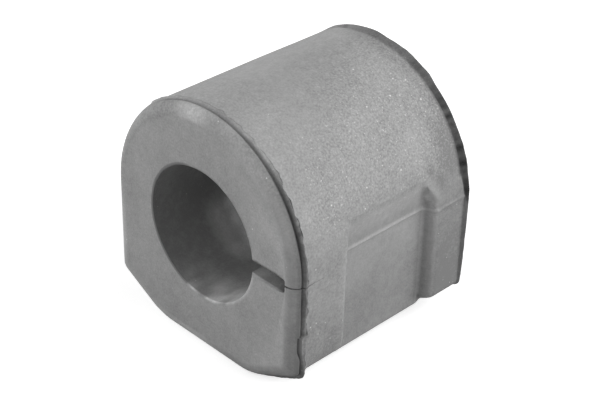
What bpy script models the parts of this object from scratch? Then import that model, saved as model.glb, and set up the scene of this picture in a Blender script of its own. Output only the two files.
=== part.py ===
"""Sway bar bushing: one moulded rubber block with an arched top, a flat base and a split bore.

The block stands on its base at z = 0, with its bore along Y. The split opens towards +X.
Lengths are in metres.
"""
from math import atan2, cos, hypot, pi, radians, sin, tan

import bmesh
import bpy
from mathutils import Matrix, Vector

# The block. Its arch is a half circle as wide as the block, so the sides run into it smoothly.
LENGTH = 0.0384
HALF_WIDTH = 0.0200
BORE_HEIGHT = 0.0209
BORE_RADIUS = 0.0110
ARCH_RISE = 0.0009
END_ROUNDING = 0.0020

# The slanted lower corners, from the foot of each side in to the flat base.
CHAMFER_RUN = 0.0095
CHAMFER_RISE = 0.0050
SHOULDER_RADIUS = 0.0023
BASE_BLEND = 0.0100

# The seat for the clamp strap, sunk into both sides between two flanges. It runs up from the
# base and stops at a ledge, this far above the bore's axis. It sits a little behind mid-length.
SEAT_WIDTH = 0.0183
SEAT_OFFSET = 0.0007
SEAT_DEPTH = 0.0025
SEAT_TOP = 0.0072
FRONT_LIP = 0.0016
REAR_LIP = 0.0011
SEAT_FILLET = 0.0009

# The split: a moulded slot through most of the wall, then a knife cut through the skin that is left.
SLOT_WIDTH = 0.0015
SKIN_THICKNESS = 0.0027
CUT_WIDTH = 0.0003

# The flash that the mould leaves where its end plates meet its middle.
FRONT_FLASH = 0.0003
REAR_FLASH = 0.0007
FLASH_THICKNESS = 0.0005
FLASH_LIFT = 0.0005

# How far a cutter runs past the surface that it cuts.
OVERCUT = 0.0020

# Straight pieces in each round stretch.
ARCH_STEPS = 44
BORE_STEPS = 64
CORNER_STEPS = 5
END_STEPS = 5

RUBBER_COLOUR = (0.27, 0.27, 0.27, 1.0)
RUBBER_ROUGHNESS = 0.75


def remove_objects():
    """Empty the scene that the script starts in."""
    for thing in list(bpy.data.objects):
        bpy.data.objects.remove(thing, do_unlink=True)


def new_collection(name):
    """A collection of its own, linked into the scene."""
    collection = bpy.data.collections.new(name)
    bpy.context.scene.collection.children.link(collection)
    return collection


def rubber():
    """Dull grey moulded rubber."""
    material = bpy.data.materials.new("moulded_rubber")
    material.use_nodes = True
    shader = material.node_tree.nodes["Principled BSDF"]
    shader.inputs["Base Color"].default_value = RUBBER_COLOUR
    shader.inputs["Roughness"].default_value = RUBBER_ROUGHNESS
    shader.inputs["Metallic"].default_value = 0.0
    material.diffuse_color = RUBBER_COLOUR
    return material


def arc(centre, radius, start, end, steps):
    """Points on a circle from one angle to another, both ends included."""
    angles = [start + (end - start) * k / steps for k in range(steps + 1)]
    return [centre + radius * Vector((cos(angle), sin(angle))) for angle in angles]


def rounded_corner(before, corner, after, radius, steps):
    """Points of the arc that rounds a corner where an outline turns anticlockwise."""
    back = (before - corner).normalized()
    ahead = (after - corner).normalized()
    half_angle = back.angle(ahead) / 2
    centre = corner + (back + ahead).normalized() * radius / sin(half_angle)
    first = corner + back * radius / tan(half_angle) - centre
    start = atan2(first.y, first.x)
    return arc(centre, radius, start, start + pi - 2 * half_angle, steps)


def section(grow, floor):
    """Outline of the block across its bore, x and z, grown outward and cut off at a floor."""
    outward = Vector((CHAMFER_RISE, -CHAMFER_RUN)) / hypot(CHAMFER_RUN, CHAMFER_RISE)
    mitre = (Vector((1, 0)) + outward) / (1 + outward.x)
    shoulder = Vector((HALF_WIDTH, CHAMFER_RISE)) + grow * mitre
    toe = Vector((shoulder.x - (shoulder.y - floor) * CHAMFER_RUN / CHAMFER_RISE, floor))
    arch_centre = Vector((0, BORE_HEIGHT + ARCH_RISE))
    spring = arch_centre + Vector((shoulder.x, 0))
    right = rounded_corner(Vector((0, floor)), toe, shoulder, BASE_BLEND, CORNER_STEPS)
    right += rounded_corner(toe, shoulder, spring, SHOULDER_RADIUS, CORNER_STEPS)
    left = [Vector((-point.x, point.y)) for point in reversed(right)]
    return right + arc(arch_centre, shoulder.x, 0, pi, ARCH_STEPS) + left


def extruded(name, outline, thickness, collection, placing):
    """A plate with a flat outline in its own x and y, made a closed mesh and placed by a matrix."""
    curve = bpy.data.curves.new(name, "CURVE")
    curve.dimensions = "2D"
    curve.fill_mode = "BOTH"
    curve.extrude = thickness / 2
    spline = curve.splines.new("POLY")
    spline.points.add(len(outline) - 1)
    for spot, point in zip(spline.points, outline):
        spot.co = (point.x, point.y, 0, 1)
    spline.use_cyclic_u = True
    drawn = bpy.data.objects.new(name + "_outline", curve)
    collection.objects.link(drawn)
    drawn.matrix_world = placing
    bpy.context.view_layer.update()

    evaluated = drawn.evaluated_get(bpy.context.evaluated_depsgraph_get())
    mesh = bpy.data.meshes.new_from_object(evaluated)
    weld(mesh)
    plate = bpy.data.objects.new(name, mesh)
    collection.objects.link(plate)
    plate.matrix_world = drawn.matrix_world
    bpy.data.objects.remove(drawn, do_unlink=True)
    return plate


def weld(mesh):
    """Join a curve's loose caps to its walls, and make each flat cap one face."""
    shape = bmesh.new()
    shape.from_mesh(mesh)
    bmesh.ops.remove_doubles(shape, verts=shape.verts, dist=0.00001)
    bmesh.ops.dissolve_limit(shape, angle_limit=radians(0.5), verts=shape.verts, edges=shape.edges)
    bmesh.ops.recalc_face_normals(shape, faces=shape.faces)
    shape.to_mesh(mesh)
    shape.free()


def box(name, low, high, collection):
    """A box between two corners."""
    bpy.ops.mesh.primitive_cube_add(size=1)
    solid = bpy.context.object
    solid.name = name
    size = Vector(high) - Vector(low)
    middle = (Vector(high) + Vector(low)) / 2
    solid.data.transform(Matrix.Translation(middle) @ Matrix.Diagonal(size).to_4x4())
    move_to(solid, collection)
    return solid


def move_to(solid, collection):
    """Keep an object in one collection only."""
    for owner in list(solid.users_collection):
        owner.objects.unlink(solid)
    collection.objects.link(solid)


def hide(solid):
    """Mark an object as a cutter or a guide."""
    solid.hide_render = True
    solid.display_type = "WIRE"


def combine(target, other, operation):
    """Join another solid to the target, or cut it away."""
    modifier = target.modifiers.new(other.name, "BOOLEAN")
    modifier.operation = operation
    modifier.solver = "EXACT"
    modifier.object = other
    hide(other)


def standing(along):
    """Stand a flat outline up across the bore, centred at a place along it."""
    return Matrix.Translation((0, along, 0)) @ Matrix.Rotation(pi / 2, 4, "X")


def block(collection):
    """The arched block, with both ends rounded over all round."""
    solid = extruded("bushing", section(0, 0), LENGTH, collection, standing(0))
    rounding = solid.modifiers.new("end_rounding", "BEVEL")
    rounding.limit_method = "ANGLE"
    rounding.angle_limit = radians(60)
    rounding.width = END_ROUNDING
    rounding.segments = END_STEPS
    return solid


def flash(name, height, side, cutters):
    """A thin ridge round one end, where the end rounding starts. It fades out above the base."""
    along = side * (LENGTH / 2 - END_ROUNDING - FLASH_THICKNESS / 2)
    return extruded(name, section(height, FLASH_LIFT), FLASH_THICKNESS, cutters, standing(along))


def bore(cutters):
    """The hole that the bar runs through, left with sharp edges."""
    bpy.ops.mesh.primitive_cylinder_add(
        vertices=BORE_STEPS,
        radius=BORE_RADIUS,
        depth=LENGTH + 2 * OVERCUT,
        location=(0, 0, BORE_HEIGHT),
        rotation=(pi / 2, 0, 0),
    )
    hole = bpy.context.object
    hole.name = "bore"
    move_to(hole, cutters)
    return hole


def split(name, start, end, width, cutters):
    """A flat cut from the bore outwards, at the height of the bore's axis and along its length."""
    half = LENGTH / 2 + OVERCUT
    low = (start, -half, BORE_HEIGHT - width / 2)
    high = (end, half, BORE_HEIGHT + width / 2)
    return box(name, low, high, cutters)


def seat_end(wall, lip):
    """Plan of one end of a seat, from outside the block over the flange's lip to the floor."""
    lip = min(lip, 0.7 * SEAT_DEPTH)
    fillet = min(SEAT_FILLET, SEAT_DEPTH - lip)
    floor = HALF_WIDTH - SEAT_DEPTH
    mouth = arc(Vector((HALF_WIDTH - lip, wall + lip)), lip, 0, -pi / 2, CORNER_STEPS)
    mouth[0] = mouth[1].lerp(mouth[0], 1.5)
    foot = arc(Vector((floor + fillet, wall - fillet)), fillet, pi / 2, pi, CORNER_STEPS)
    return [Vector((HALF_WIDTH + OVERCUT, mouth[0].y))] + mouth + foot


def strap_seat(name, side, cutters):
    """The seat in one side: a flat floor, filleted end walls, rounded lips and a flat ledge."""
    rear = seat_end(SEAT_WIDTH / 2 + SEAT_OFFSET, REAR_LIP)
    front = seat_end(SEAT_WIDTH / 2 - SEAT_OFFSET, FRONT_LIP)
    plan = rear + [Vector((point.x, -point.y)) for point in reversed(front)]
    outline = [Vector((side * point.x, point.y)) for point in plan]
    height = BORE_HEIGHT + SEAT_TOP + OVERCUT
    placing = Matrix.Translation((0, 0, height / 2 - OVERCUT))
    return extruded(name, outline, height, cutters, placing)


def build():
    """Make the block and take everything out of it."""
    remove_objects()
    parts = new_collection("sway_bar_bushing")
    cutters = new_collection("cutters")
    solid = block(parts)
    combine(solid, flash("front_flash", FRONT_FLASH, -1, cutters), "UNION")
    combine(solid, flash("rear_flash", REAR_FLASH, 1, cutters), "UNION")
    combine(solid, strap_seat("right_seat", 1, cutters), "DIFFERENCE")
    combine(solid, strap_seat("left_seat", -1, cutters), "DIFFERENCE")
    combine(solid, bore(cutters), "DIFFERENCE")

    slot_end = HALF_WIDTH - SKIN_THICKNESS
    outside = HALF_WIDTH + max(FRONT_FLASH, REAR_FLASH) + OVERCUT
    combine(solid, split("slot", 0, slot_end, SLOT_WIDTH, cutters), "DIFFERENCE")
    combine(solid, split("knife_cut", 0, outside, CUT_WIDTH, cutters), "DIFFERENCE")

    solid.data.materials.append(rubber())
    solid.data.shade_smooth()
    solid.data.set_sharp_from_angle(angle=radians(30))


build()
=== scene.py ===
"""A moulded rubber sway bar bushing, split on one side, on a pale studio floor.

Sizes are in millimetres. The bushing's base is at z = 0, its bore runs along Y and its split opens
towards +X. The end that faces -Y is called the front.
"""
from math import asin, atan2, ceil, cos, exp, hypot, pi, radians, sin, sqrt, tan

import bmesh
import bpy
from mathutils import Matrix, Vector, noise


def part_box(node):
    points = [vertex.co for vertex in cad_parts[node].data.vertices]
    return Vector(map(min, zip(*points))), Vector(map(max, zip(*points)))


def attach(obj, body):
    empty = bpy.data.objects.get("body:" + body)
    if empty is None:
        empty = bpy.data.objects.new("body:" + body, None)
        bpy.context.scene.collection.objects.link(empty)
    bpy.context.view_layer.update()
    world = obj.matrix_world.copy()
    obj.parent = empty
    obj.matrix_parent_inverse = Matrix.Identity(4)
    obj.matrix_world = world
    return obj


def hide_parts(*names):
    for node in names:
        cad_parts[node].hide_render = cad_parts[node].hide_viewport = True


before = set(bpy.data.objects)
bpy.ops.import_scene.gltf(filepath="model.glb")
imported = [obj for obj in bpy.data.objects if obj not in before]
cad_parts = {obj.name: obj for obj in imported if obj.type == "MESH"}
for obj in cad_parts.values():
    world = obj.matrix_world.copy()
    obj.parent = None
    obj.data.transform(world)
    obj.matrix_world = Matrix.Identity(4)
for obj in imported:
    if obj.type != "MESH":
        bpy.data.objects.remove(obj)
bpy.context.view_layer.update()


# The bushing: one block of moulded rubber with an arched top, a flat base and a bore for the bar.
# Its section is drawn flat and pushed back along the bore, one station at a time, and the surface
# is then worked: rounded ends, strap seats, torn flash, and the lips of the split.
MM = 0.001
box_low, box_high = (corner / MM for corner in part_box("bushing"))
LENGTH = box_high.y - box_low.y
HALF_WIDTH = 20.0
BORE_HEIGHT = 20.9
BORE_RADIUS = 11.0
ARCH_RISE = 0.9
FOOT_RUN, FOOT_RISE = 9.5, 5.0
SHOULDER_RADIUS = 1.2
TOE_RADIUS = 10.0
SLOT_WIDTH = 2.1
SLOT_DROP = 0.1
SLOT_END = 17.0
SLOT_CORNER = 0.3
CUT_WIDTH = 0.1

# Straight pieces in each round stretch, and the longest edge on each part of the outline.
ARCH_SEGMENTS = 100
BORE_SEGMENTS = 84
SHOULDER_SEGMENTS = 6
TOE_SEGMENTS = 16
SLOT_SEGMENTS = 3
OUTSIDE_EDGE = 0.33
SEAT_TOP_EDGE = 0.15
CUT_EDGE = 0.1
SLOT_EDGE = 0.9

slot = SLOT_WIDTH / 2
lip = CUT_WIDTH / 2
top = BORE_HEIGHT + ARCH_RISE + HALF_WIDTH
slot_mouth = sqrt(BORE_RADIUS**2 - slot**2)
foot_turn = atan2(FOOT_RUN, FOOT_RISE)
toe_turn = pi / 2 - foot_turn
shoulder_span = SHOULDER_RADIUS * tan(foot_turn / 2)
upper_lip = Vector((HALF_WIDTH, BORE_HEIGHT + lip))
lower_lip = Vector((HALF_WIDTH, BORE_HEIGHT - lip))

block = bmesh.new()
# Each point keeps the tone of its bloom, which also carries painted light and shade, the strength of
# its grain, and its share of bare rubber, which also carries painted shade.
bare = block.verts.layers.float.new("bare_rubber_and_painted_shade")
tone_with_painted_light_layer = block.verts.layers.float.new("bloom")
coarse = block.verts.layers.float.new("coarse")
corners = [
    block.verts.new((x, 0, z))
    for x, z in (
        upper_lip,
        (HALF_WIDTH, top),
        (-HALF_WIDTH, top),
        (-HALF_WIDTH, FOOT_RISE),
        (FOOT_RUN - HALF_WIDTH, 0),
        (HALF_WIDTH - FOOT_RUN, 0),
        (HALF_WIDTH, FOOT_RISE),
        lower_lip,
        (SLOT_END, BORE_HEIGHT - lip),
        (SLOT_END, BORE_HEIGHT - slot),
        (slot_mouth, BORE_HEIGHT - slot),
    )
]
for start, end in zip(corners, corners[1:]):
    block.edges.new((start, end))
swept = bmesh.ops.spin(
    block,
    geom=[corners[-1]],
    cent=(0, 0, BORE_HEIGHT),
    axis=(0, 1, 0),
    angle=2 * pi - 2 * asin(slot / BORE_RADIUS),
    steps=BORE_SEGMENTS,
)
slot_start = next(item for item in swept["geom_last"] if isinstance(item, bmesh.types.BMVert))
slot_corner = block.verts.new((SLOT_END, 0, BORE_HEIGHT + slot))
inner_lip = block.verts.new((SLOT_END, 0, BORE_HEIGHT + lip))
for start, end in ((slot_start, slot_corner), (slot_corner, inner_lip), (inner_lip, corners[0])):
    block.edges.new((start, end))
bmesh.ops.contextual_create(block, geom=block.edges[:])


def round_corners(rounded, distance, segments):
    """Round some corners of the flat section, each from this far along its edges."""
    bmesh.ops.bevel(
        block,
        geom=rounded,
        offset=distance,
        offset_type="OFFSET",
        segments=segments,
        profile=0.5,
        affect="VERTICES",
        material=-1,
        clamp_overlap=False,
    )


round_corners(corners[1:3], HALF_WIDTH, ARCH_SEGMENTS)
round_corners([corners[3], corners[6]], shoulder_span, SHOULDER_SEGMENTS)
round_corners(corners[4:6], TOE_RADIUS * tan(toe_turn / 2), TOE_SEGMENTS)
round_corners([corners[9], slot_corner], SLOT_CORNER, SLOT_SEGMENTS)
bmesh.ops.remove_doubles(block, verts=block.verts, dist=0.001)


def outside_between(edge, low=-100.0, high=100.0):
    """Whether an edge is outside on the block, its middle at these heights over the bore's axis."""
    axis = Vector((0, 0, BORE_HEIGHT))
    outside = all((vert.co - axis).length > SLOT_END + 0.5 for vert in edge.verts)
    return outside and low < (edge.verts[0].co.z + edge.verts[1].co.z) / 2 - BORE_HEIGHT < high


def cut_edges(chosen, longest):
    """Cut each chosen edge into even stretches that are no longer than this."""
    for edge in [edge for edge in block.edges if chosen(edge)]:
        cuts = ceil(edge.calc_length() / longest) - 1
        if cuts > 0:
            bmesh.ops.subdivide_edges(block, edges=[edge], cuts=cuts)


cut_edges(outside_between, OUTSIDE_EDGE)
cut_edges(lambda edge: outside_between(edge, 5.4, 8.0), SEAT_TOP_EDGE)
cut_edges(lambda edge: outside_between(edge, -0.4, 1.3), CUT_EDGE)
cut_edges(lambda edge: all(vert.co.x < SLOT_END + 0.01 for vert in edge.verts), SLOT_EDGE)


def ring(face):
    """The corners of the section in order, from the upper lip of the cut over the arch and round."""
    around = [loop.vert for loop in face.loops]
    first = min(range(len(around)), key=lambda k: (around[k].co.xz - upper_lip).length)
    around = around[first:] + around[:first]
    if around[1].co.z < around[0].co.z + lip or around[1].co.x < HALF_WIDTH - 1:
        around = around[:1] + around[:0:-1]
    return around


block.faces.ensure_lookup_table()
section = [vert.co.xz.copy() for vert in ring(block.faces[0])]
outer_count = 1 + min(range(len(section)), key=lambda k: (section[k] - lower_lip).length)

# Each point of the section gets its outward direction and its distance round the outside.
outward = []
around_at = []
distance = 0.0
for k, point in enumerate(section):
    before, after = section[k - 1], section[(k + 1) % len(section)]
    if k in (0, outer_count - 1):
        direction = Vector((1, 0))
    else:
        direction = Vector(((after - before).y, -(after - before).x)).normalized()
    outward.append(direction)
    around_at.append(distance)
    distance += (after - point).length
GIRTH = around_at[outer_count - 1]

# Where an end is rounded over, the outline moves in square to itself, but at the shoulders, which
# are tighter than that rounding, it moves in along their mitre and drags its neighbours with it.
SHOULDER_REACH = 4.0
side_way = Vector((1, 0))
foot_way = Vector((FOOT_RISE, -FOOT_RUN)).normalized()
mitre = (side_way + foot_way) / (1 + side_way.dot(foot_way))
inward = []
for point, direction in zip(section, outward):
    from_corner = (Vector((abs(point.x), point.y)) - Vector((HALF_WIDTH, FOOT_RISE))).length
    share = min(1.0, max(0.0, 1 - (from_corner - shoulder_span) / SHOULDER_REACH))
    side = 1 if point.x > 0 else -1
    inward.append(direction.lerp(Vector((side * mitre.x, mitre.y)), share))

# The places of the seats and of the flash ridges along the bore, from the front end.
END_RADIUS = 2.06
SEAT_FRONT = 11.0
SEAT_REAR = 29.7
SEAT_FLOOR = 17.56
SEAT_TOP = 6.8
SEAT_FADE = 6.6
FRONT_LIP, REAR_LIP = 1.9, 1.3
FRONT_FILLET, REAR_FILLET = 0.5, 0.75
WALL_SLOPE = 0.2
REAR_CORNER = 1.2
FRONT_RIDGE = 1.75
REAR_RIDGE = LENGTH - 1.95

# How far apart the stations lie. They crowd at both ends, the ridges and the walls of the seats.
PLAIN_GAP = 0.6
SEAT_GAP = 0.15
REAR_SEAT_GAP = 0.13
FLASH_GAP = 0.08


def spread(first, last, gap):
    """Even places from first up to, and not including, last."""
    count = max(1, round((last - first) / gap))
    return [first + (last - first) * k / count for k in range(count)]


TURN_ANGLES = (90, 82, 74, 65, 56, 47, 37, 28)
FLASH_START, FLASH_STOP = 1.15, 2.75
FRONT_WALL_START, FRONT_WALL_STOP = SEAT_FRONT - FRONT_LIP, SEAT_FRONT + 1.3
REAR_WALL_START, REAR_WALL_STOP = SEAT_REAR - 1.9, SEAT_REAR + REAR_LIP
REAR_FLASH_START, REAR_FLASH_STOP = REAR_RIDGE - 1.2, REAR_RIDGE + 0.4
REAR_TURN_START = LENGTH - 1.12
turning = [END_RADIUS * (1 - sin(radians(angle))) for angle in TURN_ANGLES]
stations = (
    turning
    + spread(FLASH_START, FLASH_STOP, FLASH_GAP)
    + spread(FLASH_STOP, FRONT_WALL_START, PLAIN_GAP)
    + spread(FRONT_WALL_START, FRONT_WALL_STOP, SEAT_GAP)
    + spread(FRONT_WALL_STOP, REAR_WALL_START, PLAIN_GAP)
    + spread(REAR_WALL_START, REAR_WALL_STOP, REAR_SEAT_GAP)
    + spread(REAR_WALL_STOP, REAR_FLASH_START, PLAIN_GAP)
    + spread(REAR_FLASH_START, REAR_FLASH_STOP, FLASH_GAP)
    + spread(REAR_FLASH_STOP, REAR_TURN_START, SEAT_GAP)
    + [LENGTH - place for place in reversed(turning)]
)

# Each row of points has its place along the bore and how far it is set in on the flat of an end.
FACE_RIM = 0.5
places = [(stations[0], FACE_RIM)] + [(place, 0) for place in stations] + [(stations[-1], FACE_RIM)]

end_face = block.faces[0]
rows = [ring(end_face)]
pushed_faces = []
for k in range(1, len(places)):
    made = bmesh.ops.extrude_face_region(block, geom=[end_face])
    end_face = next(item for item in made["geom"] if isinstance(item, bmesh.types.BMFace))
    pushed_faces.append(end_face)
    rows.append(ring(end_face))
    bmesh.ops.translate(block, verts=rows[-1], vec=(0, 1, 0))
bmesh.ops.delete(block, geom=pushed_faces[:-1], context="FACES_ONLY")


def ramp(value, start, end):
    """A smooth step from 0 at the start to 1 at the end, which may lie below the start."""
    share = min(1.0, max(0.0, (value - start) / (end - start)))
    return share * share * (3 - 2 * share)


def hump(value, middle, width):
    """A smooth hump that is 1 high at its middle."""
    return exp(-(((value - middle) / width) ** 2))


def from_list(points, distance):
    """A value read from a list of distances and values."""
    for start, end in zip(points, points[1:]):
        if start[0] <= distance <= end[0]:
            return start[1] + (end[1] - start[1]) * (distance - start[0]) / (end[0] - start[0])
    return points[0][1] if distance < points[0][0] else points[-1][1]


# Distances round the outside are counted up from the split over the arch to the far side and,
# with a minus, down from it to the middle of the base, which lies this far from the split.
BASE_MIDDLE = 40.0

# The rounding at each end is not even. Each list gives its radius at distances round the outside.
FRONT_ROUNDING = (
    (-48, 1.8), (-27, 1.8), (-22, 2.0), (-17, 2.06), (52, 2.06), (60, 1.85), (84, 1.75), (112, 1.8),
)
REAR_ROUNDING = (
    (-48, 2.06), (1, 2.06), (4, 2.6), (8, 3.1), (19, 3.15), (22, 2.9), (30, 2.6), (36, 2.4),
    (42, 2.06), (112, 2.06),
)


def end_inset(place, along):
    """How far the rounding at either end has turned in at a place along the bore."""
    radius = from_list(FRONT_ROUNDING if place < LENGTH / 2 else REAR_ROUNDING, along)
    depth = max(0.0, radius - min(place, LENGTH - place))
    return radius - sqrt(max(0.0, radius**2 - depth**2))


def seat_floor(height):
    """How far out the floor of the strap seat lies. At its top it runs out into the arch."""
    rise = sqrt(HALF_WIDTH**2 - (SEAT_TOP - ARCH_RISE) ** 2) - SEAT_FLOOR
    return SEAT_FLOOR + rise * ramp(height, SEAT_TOP - SEAT_FADE, SEAT_TOP)


def sunk(place, height):
    """How far a place on the side is sunk: nothing on the flanges, the full depth on the seat."""
    floor = seat_floor(height)
    arch = sqrt(HALF_WIDTH**2 - max(0.0, height - ARCH_RISE) ** 2)
    depth = max(0.0, arch - floor) if height < SEAT_TOP else 0.0
    corner = REAR_CORNER * (floor - SEAT_FLOOR) + 0.1 * max(0.0, height - 2)
    inside = min(place - SEAT_FRONT, SEAT_REAR - corner - place)
    in_front = place < LENGTH / 2
    wall_lip = min(FRONT_LIP if in_front else REAR_LIP, 0.6 * depth)
    fillet = min(FRONT_FILLET if in_front else REAR_FILLET, depth - wall_lip)
    if inside <= -wall_lip or depth == 0:
        return 0.0
    if inside < 0:
        return wall_lip - sqrt(wall_lip**2 - (inside + wall_lip) ** 2)
    if inside < WALL_SLOPE:
        return wall_lip + (depth - wall_lip - fillet) * inside / WALL_SLOPE
    if inside < WALL_SLOPE + fillet:
        left = WALL_SLOPE + fillet - inside
        return depth - fillet + sqrt(max(0.0, fillet**2 - left**2))
    return depth


# The flash: a thin fin of rubber that was squeezed out where the mould's end plates close. Each
# list gives its height at distances round the outside. A height under zero is a place where the
# fin has torn away and taken some of the block with it.
FRONT_FIN = (
    (-28, 0.0), (-25.5, 0.20), (-22, 0.42), (-17.5, 0.50), (-16, 0.42), (-14.6, 0.22), (-13, 0.05),
    (-12, -0.05), (-11, -0.12), (-10, -0.15), (-9.2, -0.12), (-8.6, 0.0), (-8, 0.12), (-6.5, 0.20),
    (-3.9, 0.30), (-2.3, 0.48), (-0.9, 0.26), (2.5, 0.32), (5.4, 0.46), (7.2, 0.34), (9.5, 0.22),
    (12, 0.34), (13.2, 0.20), (15, 0.32), (19, 0.34), (23, 0.28), (28, 0.20), (36, 0.14),
    (41.4, 0.10), (42.2, 0.28), (45.7, 0.24), (46.4, 0.02), (60, 0.04),
)
REAR_FIN = (
    (-28, 0.0), (-24, 0.10), (-18, 0.20), (-16, 0.26), (-15, 0.36), (-12, 0.52), (-9, 0.60),
    (-4, 0.68), (2, 0.68), (3, 0.60), (4.5, 0.50), (7, 0.68), (9, 0.60), (12, 0.40), (15, 0.46),
    (18, 0.36), (19, 0.42), (21, 0.66), (22.5, 0.48), (26, 0.58), (27, 0.44), (30, 0.28),
    (32.5, 0.48), (35, 0.38), (40, 0.28), (42, 0.26), (44, 0.06), (46, 0.0), (100, 0.0),
)
FIN_LIMIT = 0.68

# How dark each flash is painted along its length, at the same distances: bloom worn off down to bare
# rubber, and painted shade in the crease and on the side of the fin that faces away from the light.
FRONT_BARE_AND_SHADED = (
    (-28, 0.0), (-25, 0.9), (-22, 1.0), (-15, 1.0), (-13, 0.85), (-12, 1.0), (-9, 1.0), (-7, 0.80),
    (-2, 0.85), (8, 1.0), (13, 0.95), (16, 0.85), (20, 0.72), (27, 0.66), (36, 0.60), (42, 0.62),
    (47, 0.15), (60, 0.0),
)
REAR_BARE_AND_SHADED = (
    (-27, 0.0), (-22, 0.30), (-13.6, 0.45), (-13.0, 1.0), (-11.3, 1.0), (-10.6, 0.50), (-5, 0.70),
    (0, 0.85), (5, 0.92), (14, 0.90), (17, 0.80), (21, 0.70), (27, 0.62), (31, 0.52), (37, 0.48),
    (39, 0.60), (43, 0.35), (46, 0.0), (100, 0.0),
)


def ragged(distance, size, seed):
    """Noise along the fin, from -1 to 1, with features of about this size."""
    return noise.noise(Vector((distance / size, seed, 0.5)))


def front_fin(distance, behind):
    """Lift of the surface, share of bare rubber and painted shade, and the fin's own share, at a
    place behind the front ridge.
    """
    height = from_list(FRONT_FIN, distance)
    if height > 0:
        height *= 1 + 0.25 * ragged(distance, 1.4, 3) + 0.15 * ragged(distance, 0.6, 7)
    reach = 0.55 + 0.30 * ragged(distance, 1.9, 12) + 0.22 * ragged(distance, 0.8, 3)
    profile = ramp(behind, -0.20, -0.02) * ramp(behind / reach, 1.2, 0.2)
    flash_share_bare_and_shade = from_list(FRONT_BARE_AND_SHADED, distance)

    # The crease in front of the fin moves forward where the fin is torn, and under the shoulder.
    torn = ramp(distance, -8.3, -9.1) * ramp(distance, -13.2, -10.8)
    under = ramp(distance, -15.4, -16.6)
    width = 0.20 + 0.06 * under + 0.14 * ramp(distance, 4, 7) * ramp(distance, 20, 14)
    core = hump(behind, -0.28 - 0.42 * torn - 0.62 * under, width)
    crease = 0.26 * core * flash_share_bare_and_shade * (1 - under)

    # A bare band lies on the fin, with painted shade along its foot. The crease in front of it is
    # painted dark, bare rubber and painted shade, and painted shade darkens the rounding in front of
    # the crease.
    middle = 0.66 - 0.40 * ramp(distance, 15, 21) + 0.25 * ragged(distance, 0.6, 19)
    foot_painted_shade = 0.40 * hump(behind, reach, 0.13)
    far_edge = 1.2 * reach
    band = (middle + foot_painted_shade) * ramp(behind, -0.25, -0.10) * ramp(behind, far_edge, far_edge - 0.12)
    rounding_painted_shade = 0.42 * ramp(behind, -1.15, -0.65) * ramp(behind, 0, -0.1)
    rounding_painted_shade *= ramp(distance, 18, 12) * ramp(distance, -17, -15)
    return height * profile - crease, flash_share_bare_and_shade * max(core, band * (1 - 0.9 * torn), rounding_painted_shade), profile


def rear_fin(distance, before):
    """Lift of the surface, share of bare rubber and painted shade, and the fin's own share, at a
    place before the rear ridge.
    """
    height = from_list(REAR_FIN, distance) * (1 + 0.10 * ragged(distance, 1.1, 31))
    reach = 0.30 + 0.85 * ramp(distance, 1, 6) * ramp(distance, 48, 30)
    reach *= 1 + 0.15 * ragged(distance, 2.5, 35)
    profile = ramp(before, -0.20, -0.02) * ramp(before / reach, 1.1, 0.1)
    flash_share_bare_and_shade = from_list(REAR_BARE_AND_SHADED, distance)

    # The dark band, bare rubber with painted shade on the side that faces away from the light, runs
    # from this far before the ridge to the end, in streaks.
    limit = -0.75 + (1.2 * reach + 0.85) * ramp(distance, -4, 2) + 0.35 * hump(distance, -12.1, 0.9)
    streak = 1 + 0.25 * ragged(distance, 0.9, 41)
    return height * profile, flash_share_bare_and_shade * streak * ramp(before, limit + 0.11, limit - 0.11), profile


def bead(place, height):
    """The thin raised line that the mould left over the closed part of the split."""
    past_seat = ramp(place, SEAT_REAR, SEAT_REAR + 1.5)
    rise = (0.22 - 0.10 * past_seat) * ramp(place, SEAT_FRONT - 1.2, SEAT_FRONT - 0.2)
    return rise * hump(height, 0.28 + 0.45 * past_seat, 0.26)


# Patches of painted shade by the top of the rear wall of the seats: how dark each is, its middle and
# width along the bore, and its middle and width in height over the bore's axis.
REAR_WALL_PAINTED_SHADE = ((0.15, 29.8, 1.5, 9.5, 2.6), (0.40, 30.4, 0.9, 5.4, 1.7), (0.35, 28.9, 0.7, 7.4, 1.2))


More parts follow.
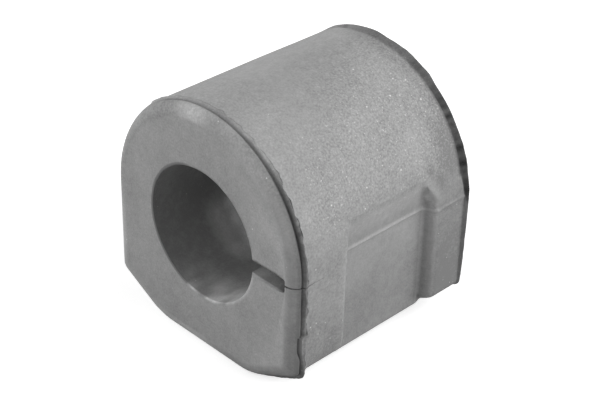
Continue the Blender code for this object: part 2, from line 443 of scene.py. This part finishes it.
def bloom_with_painted_light_at(place, height, along, sunken):
    """Tone of the bloom on the outside, with painted light and shade: 0.5 on most of it, more where
    it is paler.
    """
    # The arch is painted paler on its far side, a painted sheen where it is seen at a grazing angle,
    # and as pale on the base where the two sides meet. The side below the split is painted darker
    # towards the floor, as painted shade.
    tone = 0.5 + 0.40 * ramp(along, 31, 40) + 0.38 * ramp(along, -32.5, -40)
    tone += 0.10 * ramp(along, 7, 10) * ramp(along, 30, 26)
    tone -= 0.30 * ramp(along, -2.5, -13.5) * ramp(along, -39.5, -31.5)

    # The rear flange is dull, in three stretches up the side and over the arch.
    tone -= 0.26 * ramp(place, 29.8, 31.3) * ramp(along, 18, 13)
    tone -= 0.24 * ramp(place, 31, 33) * ramp(along, 5, 8) * ramp(along, 15, 12)
    tone -= 0.28 * ramp(place, 31.5, 34) * ramp(along, 13, 18) * ramp(along, 40, 32)

    # On the seats the run-out at the top, the fillet and lip of the rear wall, and the lip of the
    # front wall are painted paler: painted light on the run-out, which faces a little down, and on
    # the rear wall, which lies in shade, and a painted highlight on the lip of the front wall.
    tone += 0.42 * ramp(sunken, 0, 0.3) * ramp(height, 1.0, 3.4) * ramp(height, 8.0, 6.0)
    tone += 0.35 * ramp(place, 27, 27.3) * ramp(sunken, 0.75, 0.85) * ramp(sunken, 0.998, 0.978)
    tone += 0.45 * ramp(place, 28, 28.5) * ramp(sunken, 0, 0.1) * ramp(sunken, 0.75, 0.45)
    tone += 0.15 * ramp(place, 8.3, 9.5) * ramp(place, 11.2, 10.6) * ramp(along, 4, 1)
    # Patches of painted shade darken the top of the rear wall.
    for dark, middle, width, shade_height, spread_up in REAR_WALL_PAINTED_SHADE:
        tone -= dark * hump(place, middle, width) * hump(height, shade_height, spread_up)

    # The rounding of the front end is painted darker, as painted shade, on the split side and over
    # the arch, and again down the far side and low on it. Its edge on the flat has a painted
    # highlight, and one pale patch lies near its top.
    tone -= 0.38 * ramp(place, 0.4, 1.0) * ramp(place, 1.75, 1.45) * ramp(along, 28, 22)
    tone += 0.12 * ramp(place, 0.6, 0.2) * ramp(along, 26, 20) * ramp(along, 4, 8)
    tone += 0.52 * ramp(place, 1.6, 0.4) * hump(along, 33.5, 3)
    far_painted_shade = 0.60 * ramp(along, 36, 40) * ramp(along, 78, 54)
    low_far_painted_shade = 0.25 * ramp(along, 74, 80) * ramp(along, 100, 90)
    return tone - (far_painted_shade + low_far_painted_shade) * ramp(place, 1.7, 1.1)


def coarse_at(place, along, sunken):
    """How strong the grain is on the outside. It is coarsest low on the arch."""
    arch = ramp(along, 3, 11) * ramp(along, 41, 25) * ramp(along - place, 16, 0)
    rounding = ramp(place, 1.8, 1.0) * ramp(along, 16, 12)
    grain = 0.38 + 0.15 * ramp(place, 12, 9) - 0.05 * sunken
    return grain * (1 - 0.5 * rounding) + 0.52 * arch * ramp(place, -2, 10)


def face_tone(place, angle):
    """Tone of the bloom round the flat of either end, by the angle about the bore's axis."""
    tone = 0.5 + 0.16 * hump(angle, 0.3, 0.6) - 0.14 * hump(angle, -1.4, 0.9)

    # The pale stretch on the split side starts softly on the front end and sharply on the rear one.
    return tone + 0.20 * ramp((place + 1) * (angle + 1.3), 0, 0.4) * ramp(angle, 0.9, 0.5)


def inner_tone(place, x, z):
    """Tone of the bloom in the bore, with painted light along its bottom near the front and painted
    light far in, where light comes through from the rear.
    """
    turn = atan2(z - BORE_HEIGHT, x)
    smear = 1 + 1.3 * noise.noise(Vector((turn * 7, place * 0.3, 2.5)))
    bottom = 1.15 * hump(turn, -1.62, 0.38) + 0.5 * ramp(turn, -1.6, -1.1) * ramp(turn, 0, -0.4)
    near = min(1.05, bottom * ramp(place, 8, 1) * smear)
    deep = 0.9 * ramp(place, 8, 12) + ramp(place, 12.5, 15)
    deep *= ramp(turn, -1.6, -2.0) * ramp(turn, -3.0, -2.6)
    return 0.05 + near + deep * (0.7 + 0.3 * smear)


def half_gap(place):
    """Half the width of the knife cut, which gapes at the front and is closed further back."""
    gap = 0.30 - 0.16 * ramp(place, 0.9, 2.7) - 0.12 * ramp(place, 3, 6.5)
    return (gap + 0.04 * ramp(place, SEAT_REAR + 1, SEAT_REAR + 3)) / 2


# Along the seats the slanted corner lies lower, and the front flanges have a softer shoulder.
# Near the base both the fin and the drop are held to a share of the height, and stay above it.
CORNER_DROP = 0.45
FRONT_SOFTENING = 0.5
PLAIN_TONE = 0.5
FACE_GRAIN = 0.5


def outside_point(k, place, rim):
    """One point on the outside: its place in the section, and its tone, grain and share of bare
    rubber and painted shade.
    """
    x, z = section[k]
    height = z - BORE_HEIGHT
    along = around_at[k] if around_at[k] < GIRTH - BASE_MIDDLE else around_at[k] - GIRTH
    side = 1 if x > 0 else -1
    if place < LENGTH / 2:
        away, bare_and_shaded, fin_share = front_fin(along, place - FRONT_RIDGE)
    else:
        away, bare_and_shaded, fin_share = rear_fin(along, REAR_RIDGE - place)
    away = min(away, FIN_LIMIT, 0.9 * z) - 0.10 * ramp(along, 38, 44) * ramp(place, 20, 34)
    inset = end_inset(place, along) + rim
    if side > 0:
        inset -= 0.8 * rim * hump(height, 0, 2.5)
    from_corner = hypot(abs(x) - HALF_WIDTH, z - FOOT_RISE)
    inset += FRONT_SOFTENING * ramp(place, 13, 9) * ramp(place, 1.9, 3.3) * hump(from_corner, 0, 1.8)

    sink = sunk(place, height)
    sunken = sink / (HALF_WIDTH - SEAT_FLOOR) if abs(x) > SEAT_FLOOR - 1 else 0.0
    drop = CORNER_DROP * sunk(place, -10) / (HALF_WIDTH - SEAT_FLOOR)
    drop *= hump(abs(x), SEAT_FLOOR, 3.0) * ramp(z, 6.0, 4.0)
    if abs(x) > SEAT_FLOOR:
        x -= side * min(sink, abs(x) - SEAT_FLOOR)
    x += outward[k].x * away - inward[k].x * inset
    z += outward[k].y * away - inward[k].y * inset - min(drop, 0.8 * z)
    on_bead = bead(place, height) if side > 0 else 0.0
    if -1 < height < 2.5:
        x += on_bead * (1 - fin_share)
    if rim:
        return x, z, (face_tone(place, atan2(height, x)), FACE_GRAIN, 0.0)
    # The bead is painted paler, a painted highlight along it.
    tone = bloom_with_painted_light_at(place, height, along, sunken) + 1.2 * on_bead
    return x, z, (tone, coarse_at(place, along, sunken), bare_and_shaded)


# The bore's sharp edges are worn back a little at both ends, with small chips out of them. At the
# front the slot reaches further out, and the left of the bore's mouth is a hundredth wider.
EDGE_BREAK = 0.15
SLOT_LENGTHENING = 0.7
MOUTH_WIDENING = 0.010
BORE_GRAIN = 0.32


def inside_point(k, place, rim, at_lip):
    """One point of the bore or the slot: its place in the section, tone, grain and share of bare
    rubber and painted shade.
    """
    x, z = section[k]
    height = z - BORE_HEIGHT
    in_slot = ramp(x, BORE_RADIUS - 0.05, BORE_RADIUS + 0.25)
    # In the slot the upper wall and the end wall are painted with the bare colour as painted shade,
    # and its floor only a little. The slot is painted paler near the bore, as painted light.
    bare_and_shaded = in_slot * (0.8 if height > 0 or x > SLOT_END - 0.3 else 0.15)
    tone = inner_tone(place, x, z) + 0.5 * in_slot * ramp(x, 14, 12)
    if at_lip:
        x += 0.1 * rim
    else:
        depth = max(0.0, EDGE_BREAK - min(place, LENGTH - place))
        worn = EDGE_BREAK - sqrt(EDGE_BREAK**2 - depth**2)
        chip = 0.15 * max(0.0, noise.noise(Vector((x * 0.9, z * 0.9, 3.5)))) * ramp(worn, 0, 0.1)
        clear = ramp(x, SLOT_END, SLOT_END - 0.8)
        back = (worn + chip) * clear * (1 - 0.9 * ramp(height, 0, 4) * ramp(x, -8, -2))
        back += rim * (0.1 + 0.7 * clear)
        x -= outward[k].x * back
        z -= outward[k].y * back
        if x < 0:
            x *= 1 + MOUTH_WIDENING * ramp(place, 3, 0)
        if in_slot > 0:
            z -= SLOT_DROP
    if x > SLOT_END - SLOT_CORNER - 0.1:
        x += SLOT_LENGTHENING * ramp(place, 8, 3)
    if rim:
        return x, z, (PLAIN_TONE, FACE_GRAIN, 0.0)

    # The very edge at the front has a painted highlight, broken up by noise, on the right, and is
    # worn dark on the left.
    if place < 0.1:
        left = ramp(x, -2, -5)
        tone += 1.1 * (1 - left) * max(0.0, noise.noise(Vector((x * 1.1, z * 1.1, 8.5)))) - left
        bare_and_shaded = max(bare_and_shaded, 0.4 * left)
    return x, z, (tone, BORE_GRAIN, bare_and_shaded)


# The lips of the knife cut stand apart, and the points of the outside next to them move with them.
CUT_REACH = 0.5
RIM_GAP = 0.06
for row, (place, rim) in zip(rows, places):
    gap = half_gap(place) + RIM_GAP * rim
    for k, vert in enumerate(row):
        x, z = section[k]
        height = z - BORE_HEIGHT
        up = 1 if height > 0 else -1
        at_lip = abs(height) < lip * 1.5 and x > SLOT_END - 0.1
        if k < outer_count:
            x, z, looks = outside_point(k, place, rim)
        else:
            x, z, looks = inside_point(k, place, rim, at_lip)
        if at_lip:
            z = BORE_HEIGHT + up * gap
        elif k < outer_count and x > 0 and abs(height) < CUT_REACH:
            z += up * (gap - lip) * (CUT_REACH - abs(height)) / (CUT_REACH - lip)
        vert.co = (x, place - LENGTH / 2, z)
        vert[tone_with_painted_light_layer], vert[coarse], vert[bare] = looks



def place_in_rows(item):
    """A number that puts an edge or a face in the order of its points."""
    points = [vert.index for vert in item.verts]
    return min(points) * len(block.verts) + max(points)


# The operators leave the points and faces in an order that changes from run to run, so they are
# put in the order of the rows.
for k, vert in enumerate(vert for row in rows for vert in row):
    vert.index = k
block.verts.sort()
block.edges.sort(key=place_in_rows)
block.faces.sort(key=place_in_rows)

# An edge that turns more than this is shown sharp.
SHARP_ANGLE = radians(38)
bmesh.ops.recalc_face_normals(block, faces=block.faces)
bmesh.ops.scale(block, vec=(MM, MM, MM), verts=block.verts)
mesh = bpy.data.meshes.new("bushing_rubber")
block.to_mesh(mesh)
block.free()
bushing = bpy.data.objects.new("bushing_rubber", mesh)
bpy.context.scene.collection.objects.link(bushing)
mesh.shade_smooth()
mesh.set_sharp_from_angle(angle=SHARP_ANGLE)


def linear(code):
    """An sRGB hex colour as linear red, green, blue and alpha."""
    channels = [int(code[k : k + 2], 16) / 255 for k in (1, 3, 5)]
    return [c / 12.92 if c <= 0.04045 else ((c + 0.055) / 1.055) ** 2.4 for c in channels] + [1.0]


def add_node(tree, kind, settings=None, links=None, output=0):
    """Add a node, set its properties and input values, link its inputs, and give one output."""
    node = tree.nodes.new(kind)
    for name, value in (settings or {}).items():
        if isinstance(name, int) or name in node.inputs:
            node.inputs[name].default_value = value
        else:
            setattr(node, name, value)
    for name, source in (links or {}).items():
        tree.links.new(source, node.inputs[name])
    return node.outputs[output]


# Moulded rubber with a dry talc bloom. The rubber itself is near black. The bloom turns it an even
# grey with a fine grain, cloudy here and there, with specks of loose talc. The torn flash shows the
# rubber bare, and the bare colour is also painted into creases, the slot and the shaded side of the
# flash as painted shade. The tone of the bloom carries painted light and shade as well.
BLOOM_PALE = "#BDBDBD"
BLOOM_DEEP = "#8B8B8B"
BARE_PALE = "#4C4C4C"
BARE_DEEP = "#1E1E1E"
TALC = "#EDEDED"
RUBBER_IOR = 1.52

rubber = bpy.data.materials.new("moulded_rubber_with_talc_bloom")
rubber.use_nodes = True
tree = rubber.node_tree
shader = tree.nodes["Principled BSDF"]
shader.inputs["Roughness"].default_value = 0.78
shader.inputs["IOR"].default_value = RUBBER_IOR
shader.inputs["Specular IOR Level"].default_value = 0.3

tone = add_node(tree, "ShaderNodeAttribute", {"attribute_name": "bloom"}, output="Fac")
coarseness = add_node(tree, "ShaderNodeAttribute", {"attribute_name": "coarse"}, output="Fac")
bare_and_shaded = add_node(tree, "ShaderNodeAttribute", {"attribute_name": "bare_rubber_and_painted_shade"}, output="Fac")
in_metres = add_node(tree, "ShaderNodeTexCoord", output="Object")
in_mm = add_node(tree, "ShaderNodeMapping", {"Scale": (1000, 1000, 1000)}, {"Vector": in_metres})

# The layers of noise: the size of the features in mm, their detail, the stretch of the noise that
# is used, and what it turns into. The grain is 0.3 mm across, on patches of about 1 mm and clouds
# of about 9 mm. The glints are grains that catch the light, and the scuffs are on bare rubber.
RANGE = ("From Min", "From Max", "To Min", "To Max")
LAYERS = {
    "grain": (0.32, 2.0, (0.25, 0.75, -0.5, 0.5)),
    "patches": (1.3, 2.0, (0.3, 0.7, -0.10, 0.10)),
    "clouds": (9.0, 1.0, (0.3, 0.7, -0.10, 0.10)),
    "glints": (0.24, 1.0, (0.66, 0.78, 0.0, 1.3)),
    "scuffs": (0.4, 2.0, (0.3, 0.7, -0.2, 0.2)),
}
GLINT_SHIFT = (40, 0, 0)
apart = add_node(tree, "ShaderNodeMapping", {"Location": GLINT_SHIFT}, {"Vector": in_mm})
layers = {}
for name, (size, detail, span) in LAYERS.items():
    pattern = add_node(
        tree,
        "ShaderNodeTexNoise",
        {"Scale": 1 / size, "Detail": detail},
        {"Vector": apart if name == "glints" else in_mm},
    )
    layers[name] = add_node(
        tree, "ShaderNodeMapRange", dict(zip(RANGE, span)), {"Value": pattern}
    )

# Where the rubber is coarse the grain is stronger and more of it glints.
GLINT_SHARE = (0.3, 0.9, 0.0, 1.0)
glint_share = add_node(
    tree, "ShaderNodeMapRange", dict(zip(RANGE, GLINT_SHARE)), {"Value": coarseness}
)
grain = add_node(
    tree, "ShaderNodeMath", {"operation": "MULTIPLY"}, {0: layers["grain"], 1: coarseness}
)
glints = add_node(
    tree, "ShaderNodeMath", {"operation": "MULTIPLY"}, {0: layers["glints"], 1: glint_share}
)
shade = tone
for layer in (grain, layers["patches"], layers["clouds"], glints):
    shade = add_node(tree, "ShaderNodeMath", {"operation": "ADD"}, {0: shade, 1: layer})
bloom = add_node(
    tree,
    "ShaderNodeMix",
    {"data_type": "RGBA", 6: linear(BLOOM_DEEP), 7: linear(BLOOM_PALE)},
    {"Factor": shade},
    2,
)

# Loose talc lies in specks up to 0.4 mm across, in about one of every four patches of 1 mm, and
# thickest where the grain is coarse. Very pale tone, from pale grains and from painted light, turns
# to talc too.
SPECK_PATCH = 1.0
SPECK_RADIUS = (0.72, 1.0, -0.04, 0.13)
COARSE_RADIUS = (0.4, 1.0, -0.02, 0.08)
SPECK_EDGE = (0.0, 0.05, 0.0, 0.85)
PALE_GRAIN = (1.0, 2.0, 0.0, 1.0)
cells = add_node(tree, "ShaderNodeTexVoronoi", {"Scale": 1 / SPECK_PATCH}, {"Vector": in_mm}).node
pick = add_node(tree, "ShaderNodeSeparateColor", {}, {"Color": cells.outputs["Color"]})
least = add_node(tree, "ShaderNodeMapRange", dict(zip(RANGE, SPECK_RADIUS)), {"Value": pick})
extra = add_node(
    tree, "ShaderNodeMapRange", dict(zip(RANGE, COARSE_RADIUS)), {"Value": coarseness}
)
radius = add_node(tree, "ShaderNodeMath", {"operation": "ADD"}, {0: least, 1: extra})
within = add_node(
    tree, "ShaderNodeMath", {"operation": "SUBTRACT"}, {0: radius, 1: cells.outputs["Distance"]}
)
speck = add_node(tree, "ShaderNodeMapRange", dict(zip(RANGE, SPECK_EDGE)), {"Value": within})
pale = add_node(tree, "ShaderNodeMapRange", dict(zip(RANGE, PALE_GRAIN)), {"Value": shade})
talc = add_node(tree, "ShaderNodeMath", {"operation": "MAXIMUM"}, {0: speck, 1: pale})
dusted = add_node(
    tree,
    "ShaderNodeMix",
    {"data_type": "RGBA", 7: linear(TALC)},
    {"Factor": talc, 6: bloom},
    2,
)

# Rubber that is only half bare is paler than rubber that is fully bare.
HALF_BARE = (0.7, 1.0, 0.9, 0.1)
half_bare = add_node(tree, "ShaderNodeMapRange", dict(zip(RANGE, HALF_BARE)), {"Value": bare_and_shaded})
worn = add_node(
    tree, "ShaderNodeMath", {"operation": "ADD"}, {0: half_bare, 1: layers["scuffs"]}
)
rubber_colour_for_bare_and_shade = add_node(
    tree,
    "ShaderNodeMix",
    {"data_type": "RGBA", 6: linear(BARE_DEEP), 7: linear(BARE_PALE)},
    {"Factor": worn},
    2,
)
surface = add_node(
    tree, "ShaderNodeMix", {"data_type": "RGBA"}, {"Factor": bare_and_shaded, 6: dusted, 7: rubber_colour_for_bare_and_shade}, 2
)
tree.links.new(surface, shader.inputs["Base Color"])

# The relief of the grain is 0.3 mm across and stands up to 0.03 mm proud.
RELIEF_SIZE = 0.3
RELIEF_HEIGHT = 0.03 * MM
pattern = add_node(
    tree, "ShaderNodeTexNoise", {"Scale": 1 / RELIEF_SIZE, "Detail": 3.0}, {"Vector": in_mm}
)
relief = add_node(
    tree, "ShaderNodeBump", {"Strength": 0.5, "Distance": RELIEF_HEIGHT}, {"Height": pattern}
)
tree.links.new(relief, shader.inputs["Normal"])
mesh.materials.append(rubber)
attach(bushing, "root")
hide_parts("bushing")


# The floor: a wide pale sheet of studio paper. It looks white to the camera and keeps the soft
# shadow of the bushing. It gives back little light to the bushing, which stood well clear of it.
PAPER_SEEN = "#F4F4F4"
PAPER_LIT = "#9C9C9C"
PAPER_GLOW = 0.6
HALF_SHEET = 1500 * MM
sheet = bmesh.new()
bmesh.ops.create_grid(sheet, x_segments=1, y_segments=1, size=HALF_SHEET)
paper_mesh = bpy.data.meshes.new("studio_floor")
sheet.to_mesh(paper_mesh)
sheet.free()
floor = bpy.data.objects.new("studio_floor", paper_mesh)
bpy.context.scene.collection.objects.link(floor)
paper = bpy.data.materials.new("white_studio_paper")
paper.use_nodes = True
tree = paper.node_tree
sheet_shader = tree.nodes["Principled BSDF"]
sheet_shader.inputs["Roughness"].default_value = 0.9
sheet_shader.inputs["Specular IOR Level"].default_value = 0.0
sheet_shader.inputs["Emission Color"].default_value = linear("#FFFFFF")
rays = add_node(tree, "ShaderNodeLightPath").node
seen = rays.outputs["Is Camera Ray"]
for kind in ("Is Glossy Ray", "Is Transmission Ray"):
    seen = add_node(
        tree, "ShaderNodeMath", {"operation": "MAXIMUM"}, {0: seen, 1: rays.outputs[kind]}
    )
colour = add_node(
    tree,
    "ShaderNodeMix",
    {"data_type": "RGBA", 6: linear(PAPER_LIT), 7: linear(PAPER_SEEN)},
    {"Factor": seen},
    2,
)
tree.links.new(colour, sheet_shader.inputs["Base Color"])
glow = add_node(tree, "ShaderNodeMath", {"operation": "MULTIPLY", 1: PAPER_GLOW}, {0: seen})
tree.links.new(glow, sheet_shader.inputs["Emission Strength"])
paper_mesh.materials.append(paper)


# The light: a large soft box high on the split side, a low one on the far side, a weak one in
# front, and a dim room that looks white to the camera.
ROOM_LIGHT = (0.0, 1.0, 0.14, 1.0)
BOX_SIZE = 0.5
BOX_DISTANCE = 0.6
BOX_AIM = (0, 0, 20 * MM)
world = bpy.data.worlds.new("studio")
world.use_nodes = True
tree = world.node_tree
rays = add_node(tree, "ShaderNodeLightPath").node
room = tree.nodes["Background"]
room.inputs["Color"].default_value = linear("#FFFFFF")
strength = add_node(
    tree,
    "ShaderNodeMapRange",
    dict(zip(RANGE, ROOM_LIGHT)),
    {"Value": rays.outputs["Is Camera Ray"]},
)
tree.links.new(strength, room.inputs["Strength"])
bpy.context.scene.world = world


def soft_box(name, azimuth, elevation, power):
    """A square lamp that faces the middle of the bushing. Azimuth 0 is towards +X."""
    lamp = bpy.data.lights.new(name, "AREA")
    lamp.size = BOX_SIZE
    lamp.energy = power
    holder = bpy.data.objects.new(name, lamp)
    bpy.context.scene.collection.objects.link(holder)
    turn, lift = radians(azimuth), radians(elevation)
    toward = Vector((cos(turn) * cos(lift), sin(turn) * cos(lift), sin(lift)))
    holder.location = Vector(BOX_AIM) + toward * BOX_DISTANCE
    holder.rotation_mode = "QUATERNION"
    holder.rotation_quaternion = toward.to_track_quat("Z", "Y")
    holder.visible_camera = False


soft_box("split_side_box", 30, 35, 3.2)
soft_box("left_low_box", 210, 12, 2.6)
soft_box("front_box", 270, 35, 0.9)


# The camera looks down on the front end and the split side, as in the photograph. Its place is
# counted in millimetres from the middle of the bore's front end, and its angles are in radians.
CAMERA_PLACE = (145.47, -126.01 - LENGTH / 2, 129.27 + BORE_HEIGHT)
CAMERA_AZIMUTH = 0.782
CAMERA_ELEVATION = 0.569
CAMERA_ROLL = -0.026
CAMERA_LENS = 93.97
camera_data = bpy.data.cameras.new("camera")
camera_data.lens = CAMERA_LENS
camera_data.sensor_width = 36.0
camera_data.clip_start = 0.01
camera_data.clip_end = 10
camera = bpy.data.objects.new("camera", camera_data)
bpy.context.scene.collection.objects.link(camera)
back = Vector(
    (
        sin(CAMERA_AZIMUTH) * cos(CAMERA_ELEVATION),
        -cos(CAMERA_AZIMUTH) * cos(CAMERA_ELEVATION),
        sin(CAMERA_ELEVATION),
    )
)
right = Vector((cos(CAMERA_AZIMUTH), sin(CAMERA_AZIMUTH), 0))
up = back.cross(right)
turned_right = cos(CAMERA_ROLL) * right - sin(CAMERA_ROLL) * up
turned_up = sin(CAMERA_ROLL) * right + cos(CAMERA_ROLL) * up
turned = Matrix((turned_right, turned_up, back)).transposed().to_4x4()
camera.matrix_world = Matrix.Translation(Vector(CAMERA_PLACE) * MM) @ turned
bpy.context.scene.camera = camera
bpy.context.scene.view_settings.view_transform = "Standard"
